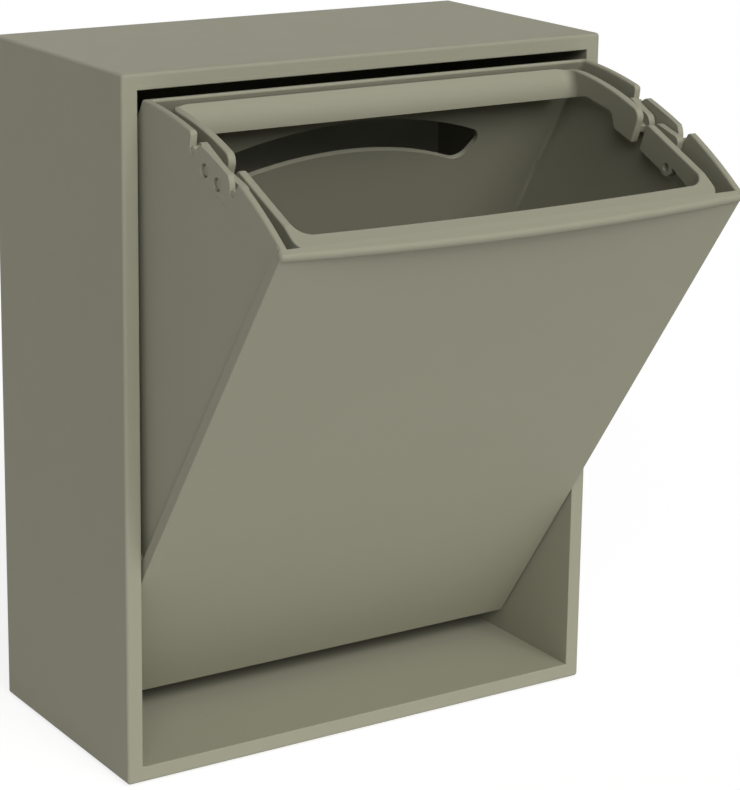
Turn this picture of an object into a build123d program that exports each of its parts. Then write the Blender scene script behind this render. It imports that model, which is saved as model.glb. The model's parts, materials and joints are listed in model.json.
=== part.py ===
# A tilt-out recycling bin: an open-front case, a container that tilts forward on two pivots,
# and a bag frame in two hinged halves in the container's mouth. Millimetres.
# X runs to the right, the front faces -Y, Z is up, and the origin is on the ground under the
# centre of the case. Everything stands as in use with the container tilted open.
from build123d import *

import os
from math import atan2, cos, hypot, radians, sin, sqrt, tan

os.makedirs("parts", exist_ok=True)

# Driving dimensions of the case
case_width = 320.0
case_depth = 160.0
case_height = 410.0
case_wall = 9.5
case_edge_radius = 2.0
case_mouth_radius = 0.7
foot_proud = 1.5
panel_thickness = 5.0
panel_rim = 4.0
panel_gap = 0.2

# Driving dimensions of the container
open_angle = 34.5
pivot_from_front = 13.6
pivot_above_case_base = 128.3
side_outer = 149.0
side_set_back = 0.4
side_wall = 4.0
side_draft = 0.55
front_wall = 6.4
front_rim_wall = 2.8
front_edge_depth = 6.8
front_bow = 5.0
back_wall = 3.0
base_wall = 3.0
rim_radius = 268.0
rim_edge_radius = 1.2
front_corner_radius = 0.7
heel_radius = 137.0
back_draft = 3.0
front_ledge = 249.0

# Driving dimensions of the bag frame and its release tabs
ring_half_width = 136.6
ring_wall = 4.8
ring_top_radius = 263.4
ring_back_radius = 264.6
ring_bottom_radius = 252.6
ring_deep_radius = 244.3
tab_root_radius = 248.5
tab_lean = 14.0
peg_spread = 7.0
peg_rise = 5.8
peg_radius = 2.8
peg_hole_radius = 3.9

# How near counts as the same place, and how far a cut runs past a face
tiny = 0.05
cut_over = 1.0

# Places worked out from them
sides = (("left", -1), ("right", 1))
case_base = foot_proud
case_middle = case_base + case_height / 2
inner_half_width = case_width / 2 - case_wall
inner_floor = case_base + case_wall
inner_top = case_base + case_height - case_wall
front_y = -case_depth / 2
panel_front_y = case_depth / 2 - panel_thickness
pivot_y = front_y + pivot_from_front
pivot_z = case_base + pivot_above_case_base
side_face = side_outer - side_set_back
side_inner = side_face - side_wall
tilt_cos = cos(radians(open_angle))
tilt_sin = sin(radians(open_angle))


def in_container(back, up, x=0.0):
    """The point of the tilted container that lies so far behind and above the pivot axis."""
    return (
        x,
        pivot_y + back * tilt_cos - up * tilt_sin,
        pivot_z + back * tilt_sin + up * tilt_cos,
    )


def side_plane(x=0.0):
    """Across the container at x: local x runs to its back, local y to its mouth, from the pivot."""
    return Plane(in_container(0, 0, x), x_dir=(0, tilt_cos, tilt_sin), z_dir=(1, 0, 0))


def mouth_plane(up=0.0):
    """Parallel to the container's mouth: local x is X, local y runs to its back."""
    return Plane(in_container(0, up), x_dir=(1, 0, 0), z_dir=(0, -tilt_sin, tilt_cos))


def facing_plane(back=0.0):
    """Parallel to the container's front: local x is X, local y runs to its mouth, facing forward."""
    return Plane(in_container(back, 0), x_dir=(1, 0, 0), z_dir=(0, -tilt_cos, -tilt_sin))


def on_circle(radius, back):
    """The point of a circle about the pivot, above it, that lies so far behind the pivot."""
    return (back, sqrt(radius**2 - back**2))


def from_pivot(point):
    """How far a point is from the pivot axis."""
    return hypot(point.Y - pivot_y, point.Z - pivot_z)


def behind_pivot(point):
    """How far a point is behind the pivot axis, in the container's own direction."""
    return (point.Y - pivot_y) * tilt_cos + (point.Z - pivot_z) * tilt_sin


def above_pivot(point):
    """How far a point is above the pivot axis, in the container's own direction."""
    return (point.Z - pivot_z) * tilt_cos - (point.Y - pivot_y) * tilt_sin


# The release tabs have their own upright direction, square to the rim where they stand
lean_cos = cos(radians(tab_lean))
lean_sin = sin(radians(tab_lean))
tab_root = (tab_root_radius * lean_sin, tab_root_radius * lean_cos)


def from_tab(along, rise):
    """Container coordinates of a point given along the tab's root line and above it."""
    return (
        tab_root[0] + along * lean_cos + rise * lean_sin,
        tab_root[1] - along * lean_sin + rise * lean_cos,
    )


def tab_plane(x=0.0):
    """Across the container at x, with local x along the tab's root line and local y up the tab."""
    world_angle = radians(open_angle - tab_lean)
    return Plane(
        in_container(*tab_root, x),
        x_dir=(0, cos(world_angle), sin(world_angle)),
        z_dir=(1, 0, 0),
    )


def from_left(side, inner, outer):
    """The x where an extrusion towards +X starts so that it fills inner to outer on that side."""
    return inner if side > 0 else -outer


def finish(name, piece):
    """Label one piece and write it to its file."""
    piece.part.label = name
    export_step(piece.part, f"parts/{name}.step")


# Case: four thick walls in one moulding, open at the front, with posts for the panel screws
post_size = 15.0
post_depth = 14.0
post_x = inner_half_width - post_size / 2
post_low = inner_floor + post_size / 2
post_high = inner_top - post_size / 2
panel_screw_places = [(x, z) for z in (post_low, post_high) for x in (-post_x, 0, post_x)]
screw_pilot_radius = 1.6
screw_pilot_depth = 12.0
insert_radius = 4.0
insert_length = 6.5
foot_radius = 7.0
foot_pocket = 1.0
foot_x = 140.0
foot_y = 62.0
foot_places = {
    f"foot_{end}_{name}": (side * foot_x, back * foot_y)
    for end, back in (("front", -1), ("rear", 1))
    for name, side in sides
}

with BuildPart() as outer_case:
    with Locations((0, 0, case_middle)):
        Box(case_width, case_depth, case_height)
    fillet(outer_case.edges(), case_edge_radius)
    with Locations((0, 0, case_middle)):
        Box(
            2 * inner_half_width,
            case_depth + 2 * cut_over,
            case_height - 2 * case_wall,
            mode=Mode.SUBTRACT,
        )
    mouth = outer_case.faces().sort_by(Axis.Y)[0].inner_wires()[0]
    fillet(mouth.edges(), case_mouth_radius)
    with Locations((0, case_depth / 2 - panel_thickness / 2, case_middle)):
        Box(
            case_width - 2 * panel_rim,
            panel_thickness,
            case_height - 2 * panel_rim,
            mode=Mode.SUBTRACT,
        )
    for x, z in panel_screw_places:
        with Locations((x, panel_front_y - post_depth / 2, z)):
            Box(post_size, post_depth, post_size)
        with Locations((x, panel_front_y - screw_pilot_depth / 2, z)):
            Cylinder(
                screw_pilot_radius, screw_pilot_depth, rotation=(90, 0, 0), mode=Mode.SUBTRACT
            )
    for _, side in sides:
        with Locations((side * (inner_half_width + insert_length / 2), pivot_y, pivot_z)):
            Cylinder(insert_radius, insert_length, rotation=(0, 90, 0), mode=Mode.SUBTRACT)
    for x, y in foot_places.values():
        with Locations((x, y, case_base + foot_pocket / 2)):
            Cylinder(foot_radius, foot_pocket, mode=Mode.SUBTRACT)
finish("outer_case", outer_case)

# Back panel: a flat plate let into the rear of the case, with two holes to hang it by
stop_buffer_height = 108.0
close_buffer_height = 300.0
stop_buffer_z = case_base + stop_buffer_height
close_buffer_z = case_base + close_buffer_height
buffer_x = 110.0
buffer_stem_radius = 2.5
wall_hole_x = 100.0
wall_hole_height = 378.0
wall_hole_z = case_base + wall_hole_height
wall_hole_radius = 2.75
screw_hole_radius = 1.9
screw_head_radius = 3.4

with BuildPart() as back_panel:
    with Locations((0, case_depth / 2 - panel_thickness / 2, case_middle)):
        Box(
            case_width - 2 * panel_rim - 2 * panel_gap,
            panel_thickness,
            case_height - 2 * panel_rim - 2 * panel_gap,
        )
    rear_face = Plane((0, case_depth / 2, 0), x_dir=(-1, 0, 0), z_dir=(0, 1, 0))
    with Locations(*[rear_face * Location((-x, z, 0)) for x, z in panel_screw_places]):
        CounterSinkHole(screw_hole_radius, screw_head_radius, depth=panel_thickness)
    with Locations(*[rear_face * Location((x, wall_hole_z, 0)) for x in (-wall_hole_x, wall_hole_x)]):
        Hole(wall_hole_radius, depth=panel_thickness)
    with Locations(
        *[
            rear_face * Location((x, z, 0))
            for x in (-buffer_x, buffer_x)
            for z in (stop_buffer_z, close_buffer_z)
        ]
    ):
        Hole(buffer_stem_radius, depth=panel_thickness)
finish("back_panel", back_panel)

# Countersunk screws that hold the back panel to the posts
screw_length = 15.0
screw_point = 1.0
screw_shank_radius = 1.6
screw_head_depth = screw_head_radius - screw_shank_radius
drive_radius = 1.5
drive_depth = 1.2

with BuildPart() as back_panel_screws:
    for x, z in panel_screw_places:
        with BuildSketch(Plane((x, case_depth / 2, z), x_dir=(1, 0, 0), z_dir=(0, 0, 1))):
            with BuildLine():
                Polyline(
                    (0, 0),
                    (screw_head_radius, 0),
                    (screw_shank_radius, -screw_head_depth),
                    (screw_shank_radius, screw_point - screw_length),
                    (0, -screw_length),
                    close=True,
                )
            make_face()
        revolve(axis=Axis((x, case_depth / 2, z), (0, 1, 0)))
        with BuildSketch(Plane((x, case_depth / 2, z), x_dir=(1, 0, 0), z_dir=(0, 1, 0))):
            RegularPolygon(drive_radius, 6)
        extrude(amount=-drive_depth, mode=Mode.SUBTRACT)
finish("back_panel_screws", back_panel_screws)

# Rubber feet, each glued in a shallow pocket
foot_edge_radius = 0.5
for name, (x, y) in foot_places.items():
    with BuildPart() as foot:
        with BuildSketch(Plane((x, y, 0))):
            Circle(foot_radius)
        extrude(amount=foot_proud + foot_pocket)
        fillet(foot.edges().sort_by(Axis.Z)[0], foot_edge_radius)
    finish(name, foot)


def push_in_buffer(x, z, head_radius, face_y):
    """A rubber buffer: a round head on the panel's front and a stem through the panel."""
    with BuildPart() as buffer:
        with BuildSketch(Plane((x, panel_front_y, z), x_dir=(1, 0, 0), z_dir=(0, -1, 0))):
            Circle(head_radius)
        extrude(amount=panel_front_y - face_y)
        fillet(buffer.edges().sort_by(Axis.Y)[0], buffer_edge_radius)
        with BuildSketch(Plane((x, panel_front_y, z), x_dir=(1, 0, 0), z_dir=(0, -1, 0))):
            Circle(buffer_stem_radius)
        extrude(amount=-panel_thickness)
    return buffer


# Buffers that the container's heel rests on when open, and that its back meets when closed
buffer_edge_radius = 0.8
stop_head_radius = 8.0
close_head_radius = 5.0
stop_gap = 0.05
close_gap = 0.4
back_top_from_pivot = 138.9
heel_face_y = pivot_y + heel_radius
closed_back_y = (
    pivot_y
    + back_top_from_pivot
    - (pivot_z + on_circle(rim_radius, back_top_from_pivot)[1] - close_buffer_z)
    * tan(radians(back_draft))
)
for name, side in sides:
    finish(
        f"stop_buffer_{name}",
        push_in_buffer(side * buffer_x, stop_buffer_z, stop_head_radius, heel_face_y + stop_gap),
    )
    finish(
        f"closing_buffer_{name}",
        push_in_buffer(
            side * buffer_x, close_buffer_z, close_head_radius, closed_back_y + close_gap
        ),
    )

# Pivots: a threaded insert in the case wall, a shoulder screw from inside the container and
# a flanged bush in the container's wall
boss_inner = 141.6
boss_radius = 9.0
bush_radius = 5.5
bush_flange_radius = 6.9
shoulder_radius = 4.0
bush_bore_radius = 4.06
thread_radius = 2.5
thread_length = 5.5
pivot_head_radius = 6.0
pivot_head_height = 3.0
head_chamfer = 0.6
socket_radius = 2.3
socket_depth = 1.8
running_gap = 0.1


def turned(points, side, socket_x=None):
    """A solid turned about the pivot axis from its (x, radius) outline on the right side."""
    with BuildPart() as piece:
        with BuildSketch(Plane((0, pivot_y, pivot_z), x_dir=(side, 0, 0), z_dir=(0, -1, 0))):
            with BuildLine():
                Polyline(*points, close=True)
            make_face()
        revolve(axis=Axis((0, pivot_y, pivot_z), (1, 0, 0)))
        if socket_x is not None:
            socket_plane = Plane(
                (side * socket_x, pivot_y, pivot_z), x_dir=(0, 1, 0), z_dir=(side, 0, 0)
            )
            with BuildSketch(socket_plane):
                RegularPolygon(socket_radius, 6)
            extrude(amount=socket_depth, mode=Mode.SUBTRACT)
    return piece


head_face = boss_inner - running_gap
head_x = head_face - pivot_head_height
for name, side in sides:
    finish(
        f"pivot_insert_{name}",
        turned(
            [
                (inner_half_width, thread_radius),
                (inner_half_width, insert_radius),
                (inner_half_width + insert_length, insert_radius),
                (inner_half_width + insert_length, thread_radius),
            ],
            side,
        ),
    )
    finish(
        f"pivot_bush_{name}",
        turned(
            [
                (boss_inner, bush_bore_radius),
                (boss_inner, bush_radius),
                (side_outer, bush_radius),
                (side_outer, bush_flange_radius),
                (inner_half_width - running_gap, bush_flange_radius),
                (inner_half_width - running_gap, bush_bore_radius),
            ],
            side,
        ),
    )
    finish(
        f"pivot_screw_{name}",
        turned(
            [
                (head_x, 0),
                (head_x, pivot_head_radius - head_chamfer),
                (head_x + head_chamfer, pivot_head_radius),
                (head_face, pivot_head_radius),
                (head_face, shoulder_radius),
                (inner_half_width, shoulder_radius),
                (inner_half_width, thread_radius),
                (inner_half_width + thread_length, thread_radius),
                (inner_half_width + thread_length, 0),
            ],
            side,
            head_x,
        ),
    )

# Container: side outline in its own coordinates, from the pivot
base_clearance = 2.0
base_rise = 3.0
front_outer = -pivot_from_front
front_inner = front_outer + front_rim_wall
front_thick_inner = front_outer + front_wall
base_front = inner_floor + base_clearance - pivot_z
base_back = base_front + base_rise
front_top = on_circle(rim_radius, front_outer)
rim_middle = on_circle(rim_radius, (front_outer + back_top_from_pivot) / 2)
back_top = on_circle(rim_radius, back_top_from_pivot)
back_foot = (back_top[0] - back_top[1] * tan(radians(back_draft)), 0.0)
heel_top = (heel_radius * tilt_cos, -heel_radius * tilt_sin)
heel_foot = (heel_top[0] - (heel_top[1] - base_back) * tan(radians(open_angle)), base_back)
lip_proud = 1.5
lip_overhang = 0.7
lip_height = 5.6
lip_edge_radius = 2.4
cavity_corner = 2.0

# Hand slot in the back wall: a band about a circle far below it
slot_circle_above_base = 101.0
slot_circle_height = slot_circle_above_base - pivot_above_case_base
slot_outer_radius = 227.0
slot_inner_radius = 203.0
slot_half_angle = 23.8
slot_corner = 9.0

# Window for the release tab in each side wall: a slot for its root, a round relief at each end,
# and above them a notch whose sides lean out and flare into the rim
window_half = 20.5
relief_along = 22.3
relief_rise = 9.9
relief_radius = 2.5
notch_foot = relief_along + relief_radius
flare_foot = (25.95, 15.5)
flare_end = (29.2, 17.85)
notch_height = 24.0


def slot_point(radius, angle):
    """A point of the hand slot's band, by its radius and its angle from upright."""
    return (
        radius * sin(radians(angle)),
        slot_circle_height + radius * cos(radians(angle)),
    )


def slot_arc(radius, angle):
    """One long edge of the hand slot, from minus the angle to the angle."""
    ThreePointArc(slot_point(radius, -angle), slot_point(radius, 0), slot_point(radius, angle))


def notch_side(end):
    """One side of the notch above the release tab: -1 is its front end, +1 its rear end."""
    foot = (end * notch_foot, relief_rise)
    bend = (end * flare_foot[0], flare_foot[1])
    top = (end * flare_end[0], flare_end[1])
    Line(foot, bend)
    TangentArc(bend, top, tangent=(bend[0] - foot[0], bend[1] - foot[1]))
    Line(top, (top[0], notch_height))


# The space inside the container, as a solid to cut out, which runs on above the rim
cavity_rise = 60.0
cavity_base = base_front + base_wall
cavity_foot = (back_foot[0] - back_wall, 0.0)
cavity_heel_top = (heel_top[0] - back_wall * tilt_cos, heel_top[1] + back_wall * tilt_sin)
cavity_heel_foot = (heel_foot[0] - back_wall / tilt_cos - base_wall, cavity_base + base_rise)
cavity_back_top = (
    back_top[0] - back_wall + cavity_rise * tan(radians(back_draft)),
    back_top[1] + cavity_rise,
)
draft_block_depth = 500.0


def between_sides(half_width):
    """A block whose sides are so far apart at the rim's top and draw in towards the base."""
    top = rim_radius + cavity_rise + cut_over
    with BuildPart() as block:
        with BuildSketch(mouth_plane(top)):
            Rectangle(
                2 * (half_width + (top - rim_radius) * tan(radians(side_draft))),
                draft_block_depth,
            )
        extrude(amount=-(top - base_front + base_wall), taper=side_draft)
    return block.part


def inner_corner(edge):
    """Whether an edge of the inner space is rounded: all but those of its front above the base."""
    point = edge @ 0.5
    in_front = behind_pivot(point) < front_thick_inner + tiny
    return not (in_front and above_pivot(point) > cavity_base + tiny)


with BuildPart() as cavity:
    with BuildSketch(side_plane(-side_outer)):
        with BuildLine():
            Polyline(
                cavity_back_top,
                cavity_foot,
                cavity_heel_top,
                cavity_heel_foot,
                (front_thick_inner, cavity_base),
                (front_thick_inner, front_ledge),
                (front_inner, front_ledge + front_wall - front_rim_wall),
                (front_inner, cavity_back_top[1]),
                close=True,
            )
        make_face()
    extrude(amount=2 * side_outer)
    add(between_sides(side_inner), mode=Mode.INTERSECT)
    fillet(cavity.edges().filter_by(inner_corner), cavity_corner)

# The hand slot, drawn behind the back wall and cut forward through it
slot_cut_depth = 60.0
slot_cut_behind = 10.0

with BuildSketch(facing_plane(back_top[0] + slot_cut_behind)) as hand_slot:
    with BuildLine():
        slot_arc(slot_outer_radius, slot_half_angle)
        slot_arc(slot_inner_radius, slot_half_angle)
        for angle in (-slot_half_angle, slot_half_angle):
            Line(slot_point(slot_outer_radius, angle), slot_point(slot_inner_radius, angle))
    make_face()
    fillet(hand_slot.vertices(), slot_corner)


def on_rim(edge):
    """Whether an edge lies along the container's curved rim, behind its front wall."""
    points = (edge @ 0.2, edge @ 0.5)
    return all(
        abs(from_pivot(point) - rim_radius) < rim_edge_radius / 2
        and behind_pivot(point) > front_inner + tiny
        for point in points
    )


def front_corner(edge):
    """Whether an edge is one of the two long outer edges of the front."""
    point = edge @ 0.5
    at_side = abs(abs(point.X) - side_outer) < tiny
    return at_side and abs(behind_pivot(point) - front_outer) < tiny and edge.length > front_top[1] / 2


def lip_nose(edge):
    """Whether an edge of the lip is rounded: all of its outline but its straight inner side."""
    return behind_pivot(edge @ 0.5) < front_inner - tiny


# The front's own edges stand square, beyond the sides that draw in behind them
front_edge_top = on_circle(rim_radius - rim_edge_radius, front_outer + front_edge_depth)

with BuildPart() as front_edges:
    with BuildSketch(side_plane(-side_outer)):
        with BuildLine():
            Polyline(
                (front_outer, front_edge_top[1]),
                (front_outer, base_front),
                (front_edge_top[0], base_front),
                front_edge_top,
                close=True,
            )
        make_face()
    extrude(amount=2 * side_outer)
    add(cavity.part, mode=Mode.SUBTRACT)

# A lip along the front's top that bows out a little in the middle, with a rounded nose
lip_half = side_outer + lip_overhang
lip_end = front_outer - lip_proud

with BuildPart() as lip:
    with BuildSketch(mouth_plane(front_top[1])):
        with BuildLine():
            ThreePointArc((-lip_half, lip_end), (0, lip_end - front_bow), (lip_half, lip_end))
            Polyline(
                (lip_half, lip_end),
                (lip_half, front_inner),
                (-lip_half, front_inner),
                (-lip_half, lip_end),
            )
        make_face()
    extrude(amount=-lip_height)
    fillet(lip.edges().filter_by(lip_nose), lip_edge_radius)

with BuildPart() as container:
    with BuildSketch(side_plane(-side_outer)):
        with BuildLine():
            Polyline(
                back_top, back_foot, heel_top, heel_foot, (front_outer, base_front), front_top
            )
            ThreePointArc(front_top, rim_middle, back_top)
        make_face()
    extrude(amount=2 * side_outer)
    add(between_sides(side_face), mode=Mode.INTERSECT)
    add(cavity.part, mode=Mode.SUBTRACT)
    fillet(container.edges().filter_by(on_rim), rim_edge_radius)
    extrude(hand_slot.sketch, amount=slot_cut_depth, mode=Mode.SUBTRACT)
    add(front_edges.part)
    fillet(container.edges().filter_by(front_corner), front_corner_radius)
    add(lip.part)
    for _, side in sides:
        with Locations((side * (boss_inner + side_outer) / 2, pivot_y, pivot_z)):
            Cylinder(boss_radius, side_outer - boss_inner, rotation=(0, 90, 0))
            Cylinder(
                bush_radius, side_outer - boss_inner, rotation=(0, 90, 0), mode=Mode.SUBTRACT
            )
        with BuildSketch(tab_plane(from_left(side, side_inner - cut_over, side_outer + cut_over))):
            with Locations((0, relief_rise / 2)):
                Rectangle(2 * window_half, relief_rise)
            with Locations((-relief_along, relief_rise), (relief_along, relief_rise)):
                Circle(relief_radius)
            with BuildLine():
                notch_side(-1)
                notch_side(1)
                Line((-notch_foot, relief_rise), (notch_foot, relief_rise))
                Line((-flare_end[0], notch_height), (flare_end[0], notch_height))
            make_face()
        extrude(amount=side_outer - side_inner + 2 * cut_over, mode=Mode.SUBTRACT)
finish("container", container)

# Release tabs: one in each side wall, bending outwards along its root, with a hole for a peg
# of each half of the bag frame
tab_inner_recess = 0.1
tab_outer_recess = 0.3
tab_inner = side_inner + tab_inner_recess
tab_outer = side_face - tab_outer_recess
tab_gap = 0.05
tab_edge_radius = 0.4
ear_shoulder_radius = 2.0
ear_radius = 13.45
ear_top = 16.4
ear_crown = 0.4
ear_bend_angle = 35.0
ear_foot = (peg_spread + sqrt(ear_radius**2 - (relief_rise - peg_rise) ** 2), relief_rise)
ear_shoulder = (peg_spread + sqrt(ear_radius**2 - (ear_top - peg_rise) ** 2), ear_top)


def around(centre, radius, angle):
    """The point at an angle on a circle."""
    return (centre[0] + radius * cos(radians(angle)), centre[1] + radius * sin(radians(angle)))


def mirrored(point):
    """The same point on the other side of the tab's middle."""
    return (-point[0], point[1])


ear_bend = around((peg_spread, peg_rise), ear_radius, ear_bend_angle)

for name, side in sides:
    tab_start = tab_plane(from_left(side, tab_inner, tab_outer))
    with BuildPart() as tab:
        with BuildSketch(tab_start):
            with BuildLine():
                ThreePointArc(ear_foot, ear_bend, ear_shoulder)
                ThreePointArc(ear_shoulder, (0, ear_top + ear_crown), mirrored(ear_shoulder))
                ThreePointArc(mirrored(ear_shoulder), mirrored(ear_bend), mirrored(ear_foot))
                Line(mirrored(ear_foot), ear_foot)
            make_face()
        extrude(amount=tab_outer - tab_inner)
        up_tab = Axis(tab_start.origin, tab_start.y_dir)
        fillet(tab.edges().filter_by(Axis.X).sort_by(up_tab)[-2:], ear_shoulder_radius)
        fillet(tab.edges().filter_by(GeomType.CIRCLE), tab_edge_radius)
        with BuildSketch(tab_start):
            with Locations((0, (relief_rise + tab_gap) / 2)):
                Rectangle(2 * (window_half - tab_gap), relief_rise - tab_gap)
        extrude(amount=tab_outer - tab_inner)
        with BuildSketch(tab_start):
            with Locations((-relief_along, relief_rise), (relief_along, relief_rise)):
                Circle(relief_radius)
            with Locations((-peg_spread, peg_rise), (peg_spread, peg_rise)):
                Circle(peg_hole_radius)
        extrude(amount=tab_outer - tab_inner, mode=Mode.SUBTRACT)
    finish(f"release_tab_{name}", tab)

# Bag frame: two U-shaped halves that lie in the mouth and swing up about their own pegs, with
# plate ends round enough to pass each other when both are up
plate_ends = {1: 3.3, -1: 4.3}
rear_end_radius = 6.0
front_end_radius = 3.2
ring_inner_half = ring_half_width - ring_wall
ring_edge_radius = 1.0
inside_low = 190.0
inside_high = 290.0


def plate_end_at(half, radius):
    """The point of one half's end, square to the tab's root, that lies so far from the pivot."""
    along = half * plate_ends[half]
    foot = from_tab(along, 0)
    slant = foot[0] * lean_sin + foot[1] * lean_cos
    return from_tab(along, sqrt(slant**2 - foot[0] ** 2 - foot[1] ** 2 + radius**2) - slant)


def corner_at(outline, point):
    """The corner of an outline that lies at a point of its own plane."""
    return outline.vertices().sort_by_distance(point)[0]


# Lugs on the outside of both halves, with a web to the ring, a peg and a tooth
lug_inner = 139.6
lug_outer = 143.8
lug_top = 13.0
lug_foot = 3.6
lug_end = 21.2
lug_end_width = 8.0
lug_end_radius = 3.0
web_outline = [(3.5, 5.5), (24.0, 8.0), (24.0, 4.6), (17.0, 3.9), (7.0, 0.3), (4.2, 1.4)]
web_inner = ring_half_width - 1.0
tooth_rise = 9.5
tooth_radius = 2.0
lug_round = 6.0
tooth_recess = 0.8
peg_recess = 1.3
tooth_reach = side_face - tooth_recess
peg_reach = tab_outer - peg_recess


def rounded_end(half_width, square_end, round_end, radius):
    """A plan that is square at one end and has round corners at the other."""
    with BuildSketch() as plan:
        with Locations((0, (square_end + round_end) / 2)):
            Rectangle(2 * half_width, abs(round_end - square_end))
        corners = plan.vertices().group_by(Axis.Y)[-1 if round_end > square_end else 0]
        fillet(corners, radius)
    return plan.sketch


def lugs(half):
    """Outer lugs, pegs and teeth of one frame half: +1 is the rear half, -1 the front half."""
    with BuildPart() as both:
        for _, side in sides:
            with BuildSketch(tab_plane(from_left(side, lug_inner, lug_outer))):
                with Locations((half * peg_spread, peg_rise)):
                    Circle(lug_round)
                with BuildLine():
                    Polyline(
                        (half * peg_spread, peg_rise + lug_round),
                        (half * lug_end, lug_top),
                        (half * lug_end, lug_foot),
                        (half * peg_spread, peg_rise - lug_round),
                        close=True,
                    )
                make_face()
                with Locations((half * lug_end, (lug_top + lug_foot) / 2)):
                    RectangleRounded(lug_end_width, lug_top - lug_foot, lug_end_radius)
            extrude(amount=lug_outer - lug_inner)
            with BuildSketch(tab_plane(from_left(side, web_inner, lug_inner))):
                with BuildLine():
                    Polyline(*[(half * x, y) for x, y in web_outline], close=True)
                make_face()
            extrude(amount=lug_inner - web_inner)
            with BuildSketch(tab_plane(from_left(side, lug_outer, peg_reach))):
                with Locations((half * peg_spread, peg_rise)):
                    Circle(peg_radius)
            extrude(amount=peg_reach - lug_outer)
            with BuildSketch(tab_plane(from_left(side, lug_outer, tooth_reach))):
                with Locations((half * relief_along, tooth_rise)):
                    Circle(tooth_radius)
            extrude(amount=tooth_reach - lug_outer)
    return both.part


# Rear half: its plates are deep beside the tabs and step up behind them, and across its back a
# rounded band slopes down and forward from the ring's top edge, open underneath
plan_start = 190.0
plan_depth = 100.0
plan_front = 45.0
ring_back = 134.6
rear_corner = 14.0
rear_inner_blend = 6.0
shortest_top_edge = 20.0
plate_top_middle = on_circle(ring_back_radius, 100.0)
plate_curve_end = on_circle(ring_bottom_radius, 110.0)
rear_step_top = on_circle(ring_bottom_radius, 86.5)
rear_step_foot = on_circle(ring_deep_radius, 79.0)
step_radius = 3.0
band_forward = 14.6
band_drop = 10.8
band_bulge = 2.5
band_wall = 2.6
band_nose_radius = 1.2
band_top = on_circle(ring_back_radius, ring_back)
band_foot = (ring_back - band_forward, band_top[1] - band_drop)
band_slope = atan2(band_drop, band_forward)
band_turn = 2 * atan2(2 * band_bulge, hypot(band_forward, band_drop))


def across_band(point, distance, angle):
    """A point so far below and behind one of the band, square to a line at that angle."""
    return (point[0] + distance * sin(angle), point[1] - distance * cos(angle))


band_crown = across_band(
    ((band_top[0] + band_foot[0]) / 2, (band_top[1] + band_foot[1]) / 2), -band_bulge, band_slope
)
band_run_out = (
    band_top[0] + rear_corner * cos(band_slope - band_turn),
    band_top[1] + rear_corner * sin(band_slope - band_turn),
)
band_under_foot = across_band(band_foot, band_wall, band_slope + band_turn)
band_under_crown = across_band(band_crown, band_wall, band_slope)
band_under_top = (ring_back, band_top[1] - band_wall)


def on_blend(edge):
    """Whether an edge bounds the space inside the rear half along its back, at either end."""
    point = edge @ 0.5
    at_end = abs(abs(point.X) - ring_inner_half) < tiny
    along_band = behind_pivot(point) > band_foot[0] - tiny
    return at_end and along_band and above_pivot(point) < inside_high - tiny


with BuildPart() as rear_inside:
    with BuildSketch(side_plane(-ring_inner_half)) as rear_space:
        with BuildLine():
            Polyline((band_foot[0], inside_low), band_foot)
            ThreePointArc(band_foot, band_crown, band_top)
            Polyline(
                band_top,
                band_run_out,
                (band_run_out[0], inside_high),
                (plan_front, inside_high),
                (plan_front, inside_low),
                (band_foot[0], inside_low),
            )
        make_face()
        fillet(corner_at(rear_space, band_foot), band_nose_radius)
    extrude(amount=2 * ring_inner_half)
    fillet(rear_inside.edges().filter_by(on_blend), rear_inner_blend)


def rear_top_edge(edge):
    """Whether an edge runs along the top of one of the rear half's plates."""
    high = from_pivot(edge @ 0.5) > ring_top_radius - tiny
    return high and edge.length > shortest_top_edge


with BuildPart() as bag_frame_rear:
    with BuildSketch(side_plane(-ring_half_width)) as rear_outline:
        with BuildLine():
            Line(plate_end_at(1, ring_deep_radius), plate_end_at(1, ring_top_radius))
            ThreePointArc(plate_end_at(1, ring_top_radius), plate_top_middle, band_top)
            Line(band_top, band_under_top)
            ThreePointArc(band_under_top, band_under_crown, band_under_foot)
            Line(band_under_foot, band_foot)
            FilletPolyline(
                band_foot,
                plate_curve_end,
                rear_step_top,
                rear_step_foot,
                plate_end_at(1, ring_deep_radius),
                radius=step_radius,
            )
        make_face()
        fillet(corner_at(rear_outline, plate_end_at(1, ring_top_radius)), rear_end_radius)
    extrude(amount=2 * ring_half_width)
    with BuildSketch(mouth_plane(plan_start)):
        add(rounded_end(ring_half_width, plan_front, ring_back, rear_corner))
    extrude(amount=plan_depth, mode=Mode.INTERSECT)
    add(rear_inside.part, mode=Mode.SUBTRACT)
    fillet(bag_frame_rear.edges().filter_by(rear_top_edge), ring_edge_radius)
    add(lugs(1))
finish("bag_frame_rear", bag_frame_rear)

# Front half: its plates rise from the pegs to a wide flange behind the container's front rim,
# with a short skirt under the flange's front edge and an eyelet at each plate's lower edge
ring_gap = 0.2
ring_front = front_inner + ring_gap
flange_top = 264.2
flange_thickness = 2.6
flange_depth = 11.2
flange_bow = 2.3
flange_back = 8.0
front_corner_plan = 9.5
front_inner_corner = 10.0
front_plan_end = 75.0
front_shallow_radius = 251.6
skirt_foot = 253.0
skirt_wall = 2.5
skirt_plan_end = 4.0
hollow_depth = 30.0
eyelet = (30.8, 246.6)
eyelet_radius = 5.0
eyelet_hole = 2.5
front_shallow_start = on_circle(front_shallow_radius, 12.0)
front_shallow_end = on_circle(front_shallow_radius, 27.0)
front_deep_end = on_circle(ring_deep_radius, 35.0)
front_plate_radius = 261.0
front_plate_top = plate_end_at(-1, front_plate_radius)
flange_inner = ring_front + flange_depth
flange_inner_middle = (0, flange_inner - flange_bow)


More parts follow.
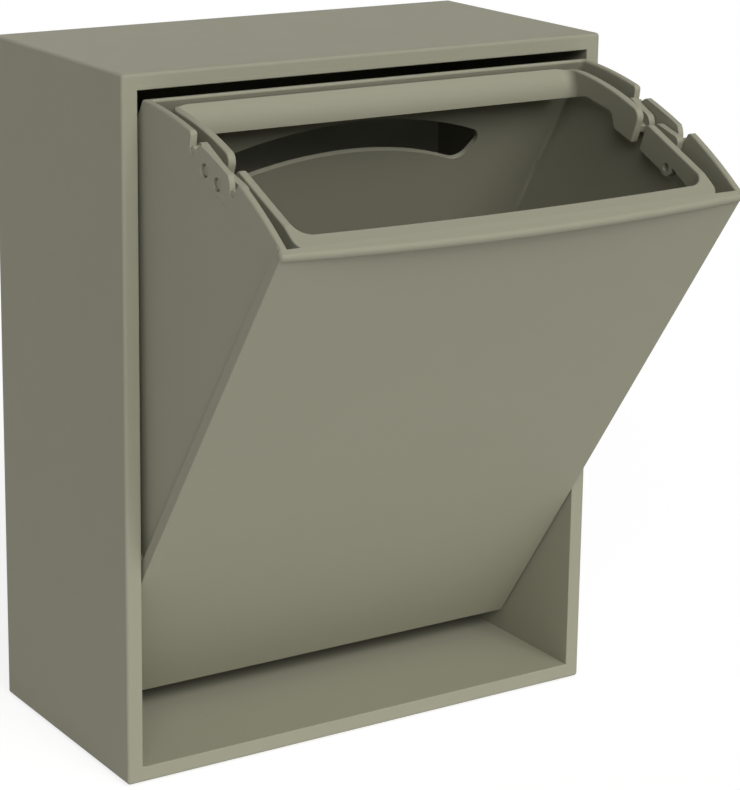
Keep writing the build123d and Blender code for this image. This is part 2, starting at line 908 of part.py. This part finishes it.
def front_top_edge(edge):
    """Whether an edge runs along the top of the front half, inside or outside its plates."""
    point = edge @ 0.5
    back = max(behind_pivot(point), flange_back)
    fall = (flange_top - front_plate_top[1]) / (front_plate_top[0] - flange_back)
    top = flange_top - (back - flange_back) * fall
    inside = abs(point.X) < ring_inner_half + tiny
    beside = abs(point.X) > ring_half_width - tiny and back > flange_back
    return abs(above_pivot(point) - top) < 2 * tiny and (inside or beside)


with BuildPart() as bag_frame_front:
    with BuildSketch(side_plane(-ring_half_width)) as front_outline:
        with BuildLine():
            Polyline(
                plate_end_at(-1, ring_deep_radius),
                front_plate_top,
                (flange_back, flange_top),
                (ring_front, flange_top),
                (ring_front, skirt_foot),
                front_shallow_start,
                front_shallow_end,
                front_deep_end,
                plate_end_at(-1, ring_deep_radius),
            )
        make_face()
        fillet(corner_at(front_outline, front_plate_top), front_end_radius)
        with Locations(eyelet):
            Circle(eyelet_radius)
            Circle(eyelet_hole, mode=Mode.SUBTRACT)
    extrude(amount=2 * ring_half_width)
    with BuildSketch(mouth_plane(plan_start)):
        add(rounded_end(ring_half_width, front_plan_end, ring_front, front_corner_plan))
        with BuildSketch(mode=Mode.SUBTRACT) as front_space:
            with BuildLine():
                ThreePointArc(
                    (-ring_inner_half, flange_inner),
                    flange_inner_middle,
                    (ring_inner_half, flange_inner),
                )
                Polyline(
                    (ring_inner_half, flange_inner),
                    (ring_inner_half, front_plan_end + cut_over),
                    (-ring_inner_half, front_plan_end + cut_over),
                    (-ring_inner_half, flange_inner),
                )
            make_face()
            fillet(front_space.vertices().group_by(Axis.Y)[0], front_inner_corner)
    extrude(amount=plan_depth, mode=Mode.INTERSECT)
    fillet(bag_frame_front.edges().filter_by(front_top_edge), ring_edge_radius)
    with BuildSketch(mouth_plane(flange_top - flange_thickness)):
        add(
            rounded_end(
                ring_half_width - skirt_wall,
                skirt_plan_end,
                ring_front + skirt_wall,
                front_corner_plan - skirt_wall,
            )
        )
    extrude(amount=-hollow_depth, mode=Mode.SUBTRACT)
    add(lugs(-1))
finish("bag_frame_front", bag_frame_front)
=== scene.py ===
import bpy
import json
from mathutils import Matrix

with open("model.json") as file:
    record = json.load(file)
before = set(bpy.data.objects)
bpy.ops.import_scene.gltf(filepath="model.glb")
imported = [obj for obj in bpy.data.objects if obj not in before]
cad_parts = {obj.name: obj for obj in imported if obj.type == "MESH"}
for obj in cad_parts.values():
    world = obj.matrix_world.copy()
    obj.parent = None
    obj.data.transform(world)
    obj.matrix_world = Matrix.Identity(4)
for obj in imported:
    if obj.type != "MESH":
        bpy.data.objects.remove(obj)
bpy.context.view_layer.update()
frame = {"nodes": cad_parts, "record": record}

import json
from math import cos, radians, sin

import bpy
from mathutils import Quaternion, Vector

# The photograph's frame in pixels, and the camera that fits the case's corners in it, with its
# place in metres and its angles in degrees
image_width = 740
image_height = 790
longer_side = max(image_width, image_height)
focal_pixels = 2635.7
optical_centre_row = 300.0
camera_place = (-0.80094, -1.31746, 0.64421)
camera_azimuth = 32.891
camera_elevation = -14.336
camera_roll = 0.793
sensor_size = 36.0
nearest_seen = 0.05
farthest_seen = 50.0

# Light: a weak surround, and broad lamps, each with its strength and the azimuth and elevation
# where it stands, seen from the object, with azimuth 0 in front of it and 90 on its right
surround_strength = 0.1
white_strength = 1.0
lamp_softness = 30.0
lamps = {
    "left_front": (0.95, -30.0, 30.0),
    "front_low": (0.85, 0.0, 30.0),
    "front_high": (0.9, 0.0, 42.0),
    "right_front": (0.3, 30.0, 42.0),
    "rear": (0.6, 180.0, 12.0),
}

# What the camera sees of the floor: this share of its own lit surface, and the rest a plain glow,
# at the strength that brings the open floor just up to white
floor_half = 4.0
floor_share = 0.3
floor_glow = 1.16
floor_roughness = 0.9

# Colours, as linear values
white = (1.0, 1.0, 1.0)
floor_white = (0.93, 0.93, 0.93)
sage = (0.295, 0.289, 0.216)
rubber_black = (0.022, 0.022, 0.02)
zinc = (0.52, 0.53, 0.54)
brass_yellow = (0.68, 0.47, 0.19)
nylon_white = (0.66, 0.63, 0.54)

# The matt mouldings, each with its roughness and the depth of its grain in metres, and the share
# of a plastic's usual shine that they have
mouldings = {
    "case_plastic": (0.66, 0.00002),
    "container_plastic": (0.64, 0.00002),
    "frame_plastic": (0.58, 0.000012),
}
moulding_shine = 0.2

# The part of a noise's range that is spread out where a noise drives something
noise_low = 0.25
noise_high = 0.75


def make_camera():
    """The camera at the photograph's viewing angle."""
    data = bpy.data.cameras.new("camera")
    data.sensor_width = sensor_size
    data.lens = focal_pixels * sensor_size / longer_side
    data.shift_y = (optical_centre_row - image_height / 2) / longer_side
    data.clip_start = nearest_seen
    data.clip_end = farthest_seen
    camera = bpy.data.objects.new("camera", data)
    bpy.context.scene.collection.objects.link(camera)
    azimuth = radians(camera_azimuth)
    elevation = radians(camera_elevation)
    forward = Vector(
        (sin(azimuth) * cos(elevation), cos(azimuth) * cos(elevation), sin(elevation))
    )
    roll = Quaternion((0, 0, 1), radians(camera_roll))
    camera.location = camera_place
    camera.rotation_mode = "QUATERNION"
    camera.rotation_quaternion = forward.to_track_quat("-Z", "Y") @ roll
    bpy.context.scene.camera = camera


class Surface:
    """A material under construction, with short names for its nodes."""

    def __init__(self, name, colour, roughness):
        self.colour = colour
        self.roughness = roughness
        self.material = bpy.data.materials.new(name)
        self.material.use_nodes = True
        self.tree = self.material.node_tree
        self.shader = self.tree.nodes["Principled BSDF"]
        self.set("Base Color", (*colour, 1))
        self.set("Roughness", roughness)
        self.place = self.tree.nodes.new("ShaderNodeTexCoord").outputs["Object"]

    def set(self, name, value):
        """Put one value on the shader's own socket."""
        self.shader.inputs[name].default_value = value

    def join(self, source, target):
        """Link an output of one node to a socket of another."""
        self.tree.links.new(source, target)

    def noise(self, scale, detail=2.0, stretch=(1, 1, 1)):
        """Noise with so many features to a metre along each axis."""
        mapping = self.tree.nodes.new("ShaderNodeMapping")
        mapping.inputs["Scale"].default_value = stretch
        self.join(self.place, mapping.inputs["Vector"])
        texture = self.tree.nodes.new("ShaderNodeTexNoise")
        texture.inputs["Scale"].default_value = scale
        texture.inputs["Detail"].default_value = detail
        self.join(mapping.outputs["Vector"], texture.inputs["Vector"])
        return texture.outputs["Fac"]

    def spread(self, value, low, high):
        """A noise spread out between two numbers."""
        node = self.tree.nodes.new("ShaderNodeMapRange")
        node.inputs["From Min"].default_value = noise_low
        node.inputs["From Max"].default_value = noise_high
        node.inputs["To Min"].default_value = low
        node.inputs["To Max"].default_value = high
        self.join(value, node.inputs["Value"])
        return node.outputs["Result"]

    def tint(self, value, change):
        """Let the colour drift a little lighter and darker with a noise."""
        mix = self.tree.nodes.new("ShaderNodeMix")
        mix.data_type = "RGBA"
        for socket, factor in (("A", 1 - change), ("B", 1 + change)):
            mix.inputs[socket].default_value = (*[part * factor for part in self.colour], 1)
        self.join(self.spread(value, 0, 1), mix.inputs["Factor"])
        self.join(mix.outputs["Result"], self.shader.inputs["Base Color"])

    def dull(self, value, less, more):
        """Let the roughness vary with a noise, by so much less and so much more."""
        varied = self.spread(value, self.roughness - less, self.roughness + more)
        self.join(varied, self.shader.inputs["Roughness"])

    def relief(self, value, depth):
        """Surface relief of so many metres."""
        bump = self.tree.nodes.new("ShaderNodeBump")
        bump.inputs["Strength"].default_value = 1.0
        bump.inputs["Distance"].default_value = depth
        self.join(value, bump.inputs["Height"])
        self.join(bump.outputs["Normal"], self.shader.inputs["Normal"])


def moulded_plastic(name, roughness, grain_depth):
    """Coloured plastic with a fine moulded grain and a slow drift of tone and gloss."""
    surface = Surface(name, sage, roughness)
    surface.set("Specular IOR Level", moulding_shine)
    surface.tint(surface.noise(scale=9.0), change=0.008)
    surface.dull(surface.noise(scale=60.0, detail=4.0), less=0.03, more=0.03)
    surface.relief(surface.noise(scale=1600.0, detail=3.0), grain_depth)
    return surface.material


def rubber():
    """Black rubber with a dull, slightly uneven skin."""
    surface = Surface("black_rubber", rubber_black, roughness=0.8)
    surface.tint(surface.noise(scale=180.0, detail=4.0), change=0.25)
    surface.relief(surface.noise(scale=1200.0, detail=3.0), depth=0.00004)
    return surface.material


def turned_metal(name, colour, roughness):
    """Metal with fine tool marks."""
    surface = Surface(name, colour, roughness)
    surface.set("Metallic", 1.0)
    marks = surface.noise(scale=900.0, detail=4.0, stretch=(6, 1, 1))
    surface.dull(marks, less=0.08, more=0.12)
    surface.tint(surface.noise(scale=120.0), change=0.06)
    surface.relief(marks, depth=0.00002)
    return surface.material


def nylon():
    """Natural nylon, a little waxy and translucent."""
    surface = Surface("natural_nylon", nylon_white, roughness=0.38)
    surface.set("Subsurface Weight", 0.15)
    surface.set("Subsurface Radius", (0.002, 0.0018, 0.0014))
    surface.tint(surface.noise(scale=90.0), change=0.05)
    surface.relief(surface.noise(scale=1500.0, detail=3.0), depth=0.00001)
    return surface.material


def dress_nodes():
    """Give every piece its material, by the record's material slots."""
    looks = {name: moulded_plastic(name, *finish) for name, finish in mouldings.items()}
    looks["rubber"] = rubber()
    looks["steel"] = turned_metal("zinc_plated_steel", zinc, roughness=0.32)
    looks["brass"] = turned_metal("turned_brass", brass_yellow, roughness=0.3)
    looks["nylon"] = nylon()
    for subpart in frame["record"]["subparts"]:
        node = frame["nodes"][subpart["node"]]
        for slot in node.material_slots:
            slot.material = looks[subpart["material_slot"]]


def calculate(tree, operation, *terms):
    """A number worked out from two terms, each the output of a node or a plain number."""
    node = tree.nodes.new("ShaderNodeMath")
    node.operation = operation
    for term, socket in zip(terms, node.inputs):
        if isinstance(term, float):
            socket.default_value = term
        else:
            tree.links.new(term, socket)
    return node.outputs["Value"]


def mix_shaders(tree, share, first, second):
    """Two shaders mixed, with that share of the second."""
    mix = tree.nodes.new("ShaderNodeMixShader")
    for source, socket in zip((share, first, second), mix.inputs):
        tree.links.new(source, socket)
    return mix.outputs["Shader"]


def plain_light(tree, kind, strength):
    """The shader of a plain white glow or of a plain white surround."""
    node = tree.nodes.new(kind)
    node.inputs["Color"].default_value = (*white, 1)
    node.inputs["Strength"].default_value = strength
    return node.outputs[0]


def seen_directly(tree):
    """1 for the rays that show a thing itself: straight to the camera, mirrored or through glass."""
    path = tree.nodes.new("ShaderNodeLightPath")
    seen = path.outputs["Is Camera Ray"]
    for kind in ("Is Glossy Ray", "Is Transmission Ray"):
        seen = calculate(tree, "MAXIMUM", seen, path.outputs[kind])
    return seen


def make_floor():
    """A plain floor that looks white and takes the object's shadow, and lights it as white does."""
    mesh = bpy.data.meshes.new("floor")
    corners = [(-1, -1), (1, -1), (1, 1), (-1, 1)]
    mesh.from_pydata([(x * floor_half, y * floor_half, 0) for x, y in corners], [], [(0, 1, 2, 3)])
    floor = bpy.data.objects.new("floor", mesh)
    bpy.context.scene.collection.objects.link(floor)
    surface = Surface("pale_floor", floor_white, floor_roughness)
    surface.set("Specular IOR Level", 0.0)
    tree = surface.tree
    glow = plain_light(tree, "ShaderNodeEmission", floor_glow)
    glow_share = calculate(tree, "MULTIPLY", seen_directly(tree), 1 - floor_share)
    mixed = mix_shaders(tree, glow_share, surface.shader.outputs["BSDF"], glow)
    surface.join(mixed, tree.nodes["Material Output"].inputs["Surface"])
    mesh.materials.append(surface.material)


def make_world():
    """A weak even surround that looks white where the camera sees past the floor."""
    world = bpy.data.worlds.new("studio")
    bpy.context.scene.world = world
    world.use_nodes = True
    tree = world.node_tree
    tree.nodes.clear()
    surround = plain_light(tree, "ShaderNodeBackground", surround_strength)
    backdrop = plain_light(tree, "ShaderNodeBackground", white_strength)
    output = tree.nodes.new("ShaderNodeOutputWorld")
    mixed = mix_shaders(tree, seen_directly(tree), surround, backdrop)
    tree.links.new(mixed, output.inputs["Surface"])


def make_lights():
    """The broad lamps, each shining on the object from its azimuth and elevation."""
    for name, (strength, azimuth, elevation) in lamps.items():
        data = bpy.data.lights.new(name, "SUN")
        data.energy = strength
        data.angle = radians(lamp_softness)
        lamp = bpy.data.objects.new(name, data)
        across = cos(radians(elevation))
        shines = (
            -sin(radians(azimuth)) * across,
            cos(radians(azimuth)) * across,
            -sin(radians(elevation)),
        )
        lamp.rotation_mode = "QUATERNION"
        lamp.rotation_quaternion = Vector(shines).to_track_quat("-Z", "Y")
        bpy.context.scene.collection.objects.link(lamp)


make_camera()
make_world()
make_lights()
make_floor()
dress_nodes()
bpy.context.scene.view_settings.view_transform = "Standard"
